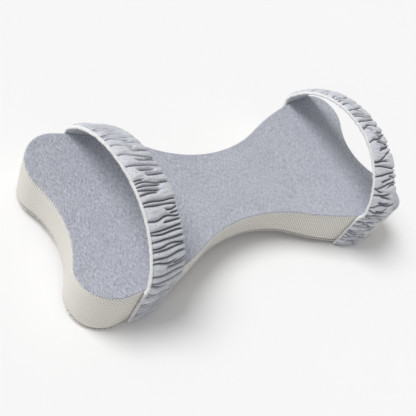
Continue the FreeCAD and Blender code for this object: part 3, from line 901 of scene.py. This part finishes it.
def tree_along_path():
    """Sets one copy of a small part every few millimetres along a path, with a little
    random size, then joins them and gives them their material."""
    tree = bpy.data.node_groups.new("parts_along_path", "GeometryNodeTree")
    sockets = {"Path": "Geometry", "Part": "Object", "Spacing": "Float",
               "Unevenness": "Float", "Seed": "Int", "Finish": "Material"}
    for name, kind in sockets.items():
        tree.interface.new_socket(name, in_out="INPUT", socket_type=f"NodeSocket{kind}")
    tree.interface.new_socket("Parts", in_out="OUTPUT", socket_type="NodeSocketGeometry")
    start = node(tree, "NodeGroupInput").outputs
    outward = node(tree, "GeometryNodeInputNamedAttribute", {"Name": "outward"},
                   data_type="FLOAT_VECTOR").outputs[0]
    curve = node(tree, "GeometryNodeMeshToCurve", {0: start["Path"]}).outputs[0]
    even = node(tree, "GeometryNodeResampleCurve",
                {"Curve": curve, "Length": start["Spacing"]}, mode="LENGTH").outputs[0]
    spots = node(tree, "GeometryNodeCurveToPoints", {"Curve": even}, mode="EVALUATED").outputs
    facing = node(tree, "FunctionNodeAlignRotationToVector",
                  {"Vector": spots["Tangent"]}, axis="X").outputs[0]
    upright = node(tree, "FunctionNodeAlignRotationToVector",
                   {"Rotation": facing, "Vector": outward}, axis="Z", pivot_axis="X").outputs[0]
    low = maths(tree, "SUBTRACT", 1.0, start["Unevenness"])
    high = maths(tree, "ADD", 1.0, start["Unevenness"])
    size = node(tree, "FunctionNodeRandomValue", {2: low, 3: high, "Seed": start["Seed"]},
                data_type="FLOAT")
    part = node(tree, "GeometryNodeObjectInfo", {"Object": start["Part"]})
    copies = node(tree, "GeometryNodeInstanceOnPoints", {
        "Points": spots["Points"], "Instance": part.outputs["Geometry"],
        "Rotation": upright, "Scale": size.outputs[1]}).outputs[0]
    real = node(tree, "GeometryNodeRealizeInstances", {0: copies}).outputs[0]
    done = node(tree, "GeometryNodeSetMaterial",
                {"Geometry": real, "Material": start["Finish"]}).outputs[0]
    end = node(tree, "NodeGroupOutput")
    tree.links.new(done, end.inputs[0])
    return tree


def repeat_along(name, path, part, spacing, unevenness, seed, finish):
    """Runs the path tree on a path object and keeps the result as a plain mesh."""
    tree = bpy.data.node_groups.get("parts_along_path") or tree_along_path()
    modifier = path.modifiers.new("repeat", "NODES")
    modifier.node_group = tree
    values = {"Part": part, "Spacing": spacing, "Unevenness": unevenness,
              "Seed": seed, "Finish": finish}
    for item in tree.interface.items_tree:
        if item.name in values and item.in_out == "INPUT":
            modifier[item.identifier] = values[item.name]
    graph = bpy.context.evaluated_depsgraph_get()
    graph.update()
    mesh = bpy.data.meshes.new_from_object(path.evaluated_get(graph))
    mesh.name = name
    made = bpy.data.objects.new(name, mesh)
    bpy.context.scene.collection.objects.link(made)
    for spent in (path, part):
        bpy.data.objects.remove(spent)
    if not mesh.materials:
        mesh.materials.append(finish)
    return smooth(made)


def seam_stitches(name, side):
    """Overlock stitches across the joint of a face panel and the wall."""
    size = cushion()
    points, normals, _ = outline(900)
    sign = 1 if side == "top" else -1
    drop = 2.3 * MM
    height = face_height(points[:, 0], points[:, 1], side) - sign * drop
    if side == "bottom":
        height = np.maximum(height, 2.6 * MM)
    spots = np.column_stack([points + normals * 0.1 * MM, height])
    outward = np.column_stack([normals, np.zeros(len(points))])
    path = path_object(f"{name}_path", spots, outward, True)
    part = bar_template(f"{name}_bar", 3.4 * MM, 0.34 * MM, 0.45 * MM)
    turn_mesh(part, Matrix.Rotation(math.radians(68), 4, "Z"))
    made = repeat_along(name, path, part, size.stitch_pitch, 0.12, 5, material("thread"))
    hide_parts(f"{side}_seam_thread")
    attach(made, "root")
    return made


def turn_mesh(thing, matrix):
    thing.data.transform(matrix)
    thing.data.update()


# ---- straps ---------------------------------------------------------------------

# At the left and the right edge of the band: half span level with the hinge, crown
# height and crown offset along Y, in millimetres, the same as on the CAD strap.
STRAPS = {
    "left_strap": {
        "middle": -165.0, "yaw": 0.0,
        "left_edge": (114.2, 151.0, -22.0), "right_edge": (105.0, 138.0, -20.0),
        "wobble": 1.0,
    },
    "right_strap": {
        "middle": 180.5, "yaw": -3.5,
        "left_edge": (111.0, 157.0, -14.0), "right_edge": (116.8, 145.0, -12.0),
        "wobble": 2.4,
    },
}
STRAP_WIDTH = 46.0
SPAN_HEIGHT = 76.0
ARCH_START = 80.0
LEG_TOP = 66.0
LEG_FOOT = 2.0
LEG_PROUD = 4.0


def wall_reach(x):
    """Half width of the cushion at a place along it."""
    points, _, _ = outline(2400)
    upper = points[points[:, 1] >= 0]
    order = np.argsort(upper[:, 0])
    inner = np.abs(upper[order, 0]) < 228 * MM
    return np.interp(x, upper[order, 0][inner], upper[order, 1][inner])


def strap_line(strap, across):
    """The strap's outer line at a place across it, foot to foot, in millimetres."""
    share = across / STRAP_WIDTH + 0.5
    span, crown, offset = [
        low + share * (high - low)
        for low, high in zip(strap["left_edge"], strap["right_edge"])
    ]
    rise = crown - SPAN_HEIGHT
    yaw = math.radians(strap["yaw"])
    arch_steps, leg_steps = 200, 40
    halves = []
    for side in (-1, 1):
        reach = abs(side * span - offset)
        radius = (reach**2 + rise**2) / (2 * rise)
        heights = np.linspace(ARCH_START, crown, arch_steps)
        turn = np.sqrt(np.clip(radius**2 - (heights - crown + radius) ** 2, 0, None))
        arch = np.column_stack([np.full(arch_steps, across), offset + side * turn, heights])
        arch = arch[np.concatenate([[True], np.diff(turn) < 0])]
        x_wall = strap["middle"] + across - side * span * math.sin(yaw)
        skew = across * side * math.sin(yaw)
        wall_y = (wall_reach(x_wall * MM) / MM + LEG_PROUD - skew) / math.cos(yaw)
        low = np.linspace(LEG_FOOT, LEG_TOP, leg_steps)
        leg = np.column_stack([
            np.full(leg_steps, across), np.full(leg_steps, side * wall_y), low])
        halves.append(np.vstack([leg, arch]))
    line = np.vstack([halves[0], halves[1][::-1]])
    steps = np.linalg.norm(np.diff(line, axis=0), axis=1)
    run = np.concatenate([[0], np.cumsum(steps)])
    return line, run


def strap_surface(strap, stations, lanes):
    """Smooth outer surface of the flat strap as a grid, with its frame directions."""
    half, smoothing_rounds = STRAP_WIDTH / 2, 14
    grid = np.zeros((stations, lanes, 3))
    for lane in range(lanes):
        across = -half + 2 * half * lane / (lanes - 1)
        line, run = strap_line(strap, across)
        wanted = np.linspace(0, run[-1], stations)
        grid[:, lane] = np.column_stack([np.interp(wanted, run, line[:, i]) for i in range(3)])
    for _ in range(smoothing_rounds):
        inner = (grid[2:] + grid[1:-1] + grid[:-2]) / 3
        grid[1:-1] = inner
    yaw = math.radians(strap["yaw"])
    turned = grid.copy()
    turned[..., 0] = strap["middle"] + grid[..., 0] * math.cos(yaw) - grid[..., 1] * math.sin(yaw)
    turned[..., 1] = grid[..., 0] * math.sin(yaw) + grid[..., 1] * math.cos(yaw)
    turned *= MM
    along = np.gradient(turned, axis=0)
    along /= np.linalg.norm(along, axis=2)[..., None]
    across = np.gradient(turned, axis=1)
    across /= np.linalg.norm(across, axis=2)[..., None]
    outward = np.cross(across, along)
    outward /= np.linalg.norm(outward, axis=2)[..., None]
    if outward[stations // 2, lanes // 2, 2] < 0:
        outward = -outward
    return turned, across, outward


def crease_lines(strap, total, share, rng):
    """Where each gather's crease runs across the band, and how far across it reaches."""
    size = strap_sizes()
    spot = 3 * MM
    while spot < total - 2 * MM:
        kind = rng.choice(4, p=[0.44, 0.24, 0.24, 0.08])
        low, high = [(-0.2, 1.2), (-0.2, rng.uniform(0.35, 0.8)),
                     (rng.uniform(0.2, 0.62), 1.2), (0.2, 0.8)][kind]
        reach = ease(share, low - 0.1, low + 0.12) * (1 - ease(share, high - 0.14, high + 0.1))
        slant = rng.normal(0, 2.4) * MM * strap["wobble"]
        bend = rng.normal(0, 1.2) * MM * strap["wobble"]
        turns = rng.uniform(0.6, 1.6) * 2 * math.pi
        phase = rng.uniform(0, 2 * math.pi)
        yield spot + slant * (share - 0.5) + bend * np.sin(share * turns + phase), reach
        crowded = 1 - 0.3 * (1 - ease(min(spot, total - spot), 0.05, 0.11))
        spot += size.gather_pitch * rng.uniform(0.5, 1.4) * (0.72 if kind else 1.0) * crowded


def gather_pillows(strap, run, lanes, seed):
    """Puffs between creases, as a share of the gather depth: 0 in a crease, 1 on a puff."""
    rng = np.random.default_rng(seed)
    share = np.linspace(0, 1, lanes)[None, :]
    place = run[:, None]
    spread = strap_sizes().gather_pitch * 0.62
    nearest = np.full((len(run), lanes), spread)
    for path, reach in crease_lines(strap, run[-1], share, rng):
        away = np.abs(place - path) + (1 - reach) * spread
        nearest = np.minimum(nearest, away)
    part = np.clip(nearest / spread, 0, 1)
    return (1 - (1 - part) ** 2) ** 0.62


def fine_ripple(run, lanes, seed):
    """Small wrinkles on top of the gathers."""
    rng = np.random.default_rng(seed + 40)
    share = np.linspace(0, 1, lanes)[None, :]
    ripple = np.zeros((len(run), lanes))
    for _ in range(26):
        pitch = rng.uniform(3.0, 9.0) * MM
        slant = rng.normal(0, 1.2)
        phase = rng.uniform(0, 2 * math.pi)
        ripple += np.sin((run[:, None] / pitch + slant * share) * 2 * math.pi + phase)
    return ripple / 26 * 1.5 * MM


def make_strap(name):
    """The gathered sleeve: puffs outside, the plain lining inside, the elastic between."""
    strap = STRAPS[name]
    size = strap_sizes()
    stations, lanes = 900, 42
    surface, across, outward = strap_surface(strap, stations, lanes)
    middle = surface[:, lanes // 2]
    run = np.concatenate([[0], np.cumsum(np.linalg.norm(np.diff(middle, axis=0), axis=1))])
    seed = size.seed + (0 if name == "left_strap" else 7)
    puffs = gather_pillows(strap, run, lanes, seed)
    share = np.linspace(0, 1, lanes)[None]
    roundness = 1 - np.abs(2 * share - 1) ** 5
    ends = np.minimum(run, run[-1] - run)[:, None]
    calm = 0.5 + 0.5 * ease(ends, 0.0, 7 * MM)
    valley = -1.5 * MM
    height = size.gather_depth * (0.55 + 0.45 * roundness)
    lift = valley + (height * puffs + fine_ripple(run, lanes, seed) * roundness) * calm
    edge_round = np.sqrt(np.clip(1 - np.abs(2 * share - 1) ** 9, 0.0, 1))
    sink = 0.5 * size.thickness * (1 - edge_round)
    scallop = (puffs - 0.35) * size.edge_scallop * share**4 * calm
    outer = surface + outward * (lift - sink)[..., None] + across * scallop[..., None]
    under = -size.thickness + 0.2 * MM + 0.3 * MM * puffs
    inner = surface + outward * (under + sink)[..., None] + across * scallop[..., None]
    ring = np.concatenate([outer, inner[:, ::-1]], axis=1)
    columns = ring.shape[1]
    faces = grid_faces(stations, columns)
    faces.append(tuple(reversed(range(columns))))
    faces.append(tuple(range((stations - 1) * columns, stations * columns)))
    sleeve = new_object(f"{name}_sleeve", ring.reshape(-1, 3), faces, material("strap_knit"))
    # The puff share, kept as the puff attribute, is the mask for the painted shade in the strap
    # knit's creases; the inner side gets none.
    depth = np.concatenate([puffs, np.ones_like(puffs)], axis=1)
    attribute = sleeve.data.attributes.new("puff", "FLOAT", "POINT")
    attribute.data.foreach_set("value", depth.astype(np.float32).ravel())
    merge(sleeve, 1e-6)
    smooth(sleeve)
    join_across_hinge(sleeve, name)
    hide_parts(f"{name}_face", f"{name}_backing", f"{name}_near_leg", f"{name}_far_leg")
    make_edging(name, surface[:, 0], outward[:, 0], across[:, 0], lift[:, 1])
    make_tacks(name, surface, outward)
    return sleeve


def join_across_hinge(thing, name):
    """Bakes the piece's placement into its mesh."""
    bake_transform(thing)


def make_edging(name, line, outward, across, lift):
    """The overlocked left edge: a soft core wrapped by close slanting turns of thread."""
    size = strap_sizes()
    radius = size.edge_radius
    centre = line - across * 0.4 * MM + outward * (-1.6 * MM + 0.25 * lift[:, None])
    up = outward
    side = across
    turns = 10
    ring = []
    for step in range(turns):
        roll = 2 * math.pi * step / turns
        ring.append(centre + up * (1.25 * radius * math.sin(roll))
                    + side * (0.8 * radius * math.cos(roll)))
    tube = np.stack(ring, axis=1)
    faces = grid_faces(len(line), turns)
    faces.append(tuple(reversed(range(turns))))
    faces.append(tuple(range((len(line) - 1) * turns, len(line) * turns)))
    core = new_object(f"{name}_edge_core", tube.reshape(-1, 3), faces, material("thread"))
    merge(core, 1e-7)
    smooth(core)
    join_across_hinge(core, name)
    path = path_object(f"{name}_edge_path", centre, up, False)
    part = loop_template(f"{name}_edge_turn", 0.98 * radius, 1.42 * radius, 0.36 * MM, 0.55 * MM)
    wrap = repeat_along(f"{name}_edge_overlock", path, part, size.edge_pitch, 0.1, 3,
                        material("thread"))
    join_across_hinge(wrap, name)
    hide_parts(f"{name}_edging")


def make_tacks(name, surface, outward):
    """A row of zigzag stitches across each foot of the strap."""
    rows = []
    for end, station in (("near", 9), ("far", len(surface) - 10)):
        line = surface[station, 2:-2] + outward[station, 2:-2] * 0.9 * MM
        path = path_object(f"{name}_{end}_tack_path", line, outward[station, 2:-2], False)
        part = bar_template(f"{name}_{end}_tack_bar", 3.2 * MM, 0.3 * MM, 0.3 * MM)
        turn_mesh(part, Matrix.Rotation(math.radians(60), 4, "Z"))
        rows.append(repeat_along(f"{name}_{end}_tack", path, part, 1.6 * MM, 0.1, 2,
                                 material("thread")))
    for row in rows:
        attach(row, "root")
    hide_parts(f"{name}_tacks")


# ---- operators ------------------------------------------------------------------


class SUPPORT_OT_cover(bpy.types.Operator):
    """Make the stuffed cover: top panel, underside panel and mesh wall"""

    bl_idname = "support.make_cover"
    bl_label = "Cover"

    def execute(self, context):
        form = inflated_form()
        size = cushion()
        top = face_shell("top_panel_knit", "top", form, material("top_knit"), size.knit_thickness)
        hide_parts("top_panel")
        base = face_shell("underside_panel_mesh", "bottom", form, material("spacer_mesh"),
                          size.knit_thickness)
        add_flat_uv(base)
        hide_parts("bottom_panel")
        wall = wall_shell(material("spacer_mesh"))
        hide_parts("side_border", "zip_band_upper", "zip_band_lower")
        for piece in (top, base, wall):
            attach(piece, "root")
        return {"FINISHED"}


def add_flat_uv(thing):
    """UV in metres from above."""
    mesh = thing.data
    layer = mesh.uv_layers.new(name="UVMap")
    for loop in mesh.loops:
        place = mesh.vertices[loop.vertex_index].co
        layer.data[loop.index].uv = (place.x, place.y)


class SUPPORT_OT_stitches(bpy.types.Operator):
    """Sew the overlock rows round both seams"""

    bl_idname = "support.make_stitches"
    bl_label = "Seam stitches"

    def execute(self, context):
        seam_stitches("top_seam_overlock", "top")
        seam_stitches("bottom_seam_overlock", "bottom")
        return {"FINISHED"}


class SUPPORT_OT_straps(bpy.types.Operator):
    """Make both gathered straps with their overlocked edges and tacks"""

    bl_idname = "support.make_straps"
    bl_label = "Straps"

    def execute(self, context):
        for name in STRAPS:
            make_strap(name)
        return {"FINISHED"}


class SUPPORT_OT_zip(bpy.types.Operator):
    """Wind the zip coils and finish the zip's carried-over parts"""

    bl_idname = "support.make_zip"
    bl_label = "Zip"

    def execute(self, context):
        for side in ("upper", "lower"):
            make_coil(side)
        finishes = {"tape": "zip_tape", "slider": "zinc", "pull": "zinc", "stop": "zinc"}
        for name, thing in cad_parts.items():
            for word, finish in finishes.items():
                if name.startswith("zip_") and word in name:
                    dress(thing, finish)
        return {"FINISHED"}


def make_coil(side):
    low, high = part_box(f"zip_coil_{side}")
    size = cushion()
    centre = size.waist_half + size.waist_radius
    radius = size.waist_radius + 0.35 * MM
    half = math.asin(high.x / radius) - math.radians(0.4)
    turns = np.linspace(-half, half, 300)
    height = (low.z + high.z) / 2
    spots = np.column_stack([radius * np.sin(turns), centre - radius * np.cos(turns),
                             np.full(300, height)])
    outward = np.column_stack([-np.sin(turns), np.cos(turns), np.zeros(300)])
    path = path_object(f"zip_coil_{side}_path", spots, outward, False)
    wide = (high.z - low.z) / 2 - 0.2 * MM
    part = loop_template(f"zip_coil_{side}_turn", wide, 0.42 * MM, 0.2 * MM, 0.3 * MM)
    made = repeat_along(f"zip_coil_{side}_wire", path, part, zip_sizes().coil_pitch * 0.62, 0.0, 1,
                        material("nylon"))
    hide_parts(f"zip_coil_{side}")
    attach(made, "root")


def dress(thing, finish):
    """Gives a carried-over part its material."""
    thing.data.materials.clear()
    thing.data.materials.append(material(finish))


class SUPPORT_OT_inside(bpy.types.Operator):
    """Finish the foam core, the liner and the elastic inside the straps"""

    bl_idname = "support.finish_inside"
    bl_label = "Inside pieces"

    def execute(self, context):
        for name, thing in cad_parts.items():
            if name == "foam_core":
                dress(thing, "foam")
            if name.startswith("liner"):
                dress(thing, "liner")
            if name.endswith("elastic"):
                dress(thing, "elastic")
        return {"FINISHED"}


class SUPPORT_OT_stage(bpy.types.Operator):
    """Set up the floor, the soft lights and the camera"""

    bl_idname = "support.make_stage"
    bl_label = "Stage"

    def execute(self, context):
        size = stage_sizes()
        reach = 6.0
        corners = [(-reach, -reach, 0), (reach, -reach, 0), (reach, reach, 0), (-reach, reach, 0)]
        floor = new_object("floor", corners, [(0, 1, 2, 3)], material("paper"))
        floor.location.z = -0.0002
        add_key(size)
        add_sky(size.sky_strength)
        context.scene.view_settings.view_transform = "Standard"
        add_camera(size)
        return {"FINISHED"}


def add_key(size):
    """One broad even light, high on the far left, as from a large softbox."""
    travel = (1.2, -1.0, -2.4)
    data = bpy.data.lights.new("softbox", "SUN")
    data.energy = size.key_power
    data.angle = size.key_softness
    lamp = bpy.data.objects.new("softbox", data)
    lamp.rotation_euler = Vector(travel).to_track_quat("-Z", "Y").to_euler()
    bpy.context.scene.collection.objects.link(lamp)


def add_sky(strength):
    """White sky that lights softly and looks as pale as the floor behind the cushion."""
    seen_strength = 0.92
    world = bpy.context.scene.world or bpy.data.worlds.new("sky")
    bpy.context.scene.world = world
    world.use_nodes = True
    tree = world.node_tree
    background = tree.nodes["Background"]
    background.inputs["Color"].default_value = (1, 1, 1, 1)
    seen = node(tree, "ShaderNodeLightPath").outputs["Is Camera Ray"]
    extra = maths(tree, "MULTIPLY", seen, seen_strength - strength)
    tree.links.new(maths(tree, "ADD", extra, strength), background.inputs["Strength"])


def add_camera(size):
    data = bpy.data.cameras.new("camera")
    data.lens = size.lens
    data.sensor_width = 36.0
    data.clip_start = 0.01
    data.clip_end = 50
    camera = bpy.data.objects.new("camera", data)
    place, aim = Vector(size.camera_place), Vector(size.camera_aim)
    look = (aim - place).to_track_quat("-Z", "Y")
    roll = Matrix.Rotation(-size.camera_roll, 4, "Z")
    camera.matrix_world = Matrix.Translation(place) @ look.to_matrix().to_4x4() @ roll
    bpy.context.scene.collection.objects.link(camera)
    bpy.context.scene.camera = camera


class SUPPORT_PT_panel(bpy.types.Panel):
    """Lists the cushion's operators and sizes"""

    bl_idname = "SUPPORT_PT_panel"
    bl_label = "Support Cushion"
    bl_space_type = "VIEW_3D"
    bl_region_type = "UI"
    bl_category = "Support Cushion"

    def draw(self, context):
        for operator in OPERATORS:
            self.layout.operator(operator.bl_idname)
        for group in SETTINGS:
            owner = getattr(context.scene, group)
            for name in owner.bl_rna.properties.keys():
                if name not in ("rna_type", "name"):
                    self.layout.prop(owner, name)


OPERATORS = (
    SUPPORT_OT_cover,
    SUPPORT_OT_stitches,
    SUPPORT_OT_straps,
    SUPPORT_OT_zip,
    SUPPORT_OT_inside,
    SUPPORT_OT_stage,
)
SETTINGS = {
    "support_cushion": CushionSettings,
    "support_strap": StrapSettings,
    "support_zip": ZipSettings,
    "support_colours": ColourSettings,
    "support_stage": StageSettings,
}


def register():
    for group in SETTINGS.values():
        bpy.utils.register_class(group)
    for operator in OPERATORS:
        bpy.utils.register_class(operator)
    bpy.utils.register_class(SUPPORT_PT_panel)
    for name, group in SETTINGS.items():
        setattr(bpy.types.Scene, name, PointerProperty(type=group))


def unregister():
    for name in SETTINGS:
        delattr(bpy.types.Scene, name)
    bpy.utils.unregister_class(SUPPORT_PT_panel)
    for operator in reversed(OPERATORS):
        bpy.utils.unregister_class(operator)
    for group in reversed(list(SETTINGS.values())):
        bpy.utils.unregister_class(group)


def main():
    register()
    for operator in OPERATORS:
        group, name = operator.bl_idname.split(".")
        getattr(getattr(bpy.ops, group), name)()


if __name__ == "__main__":
    main()
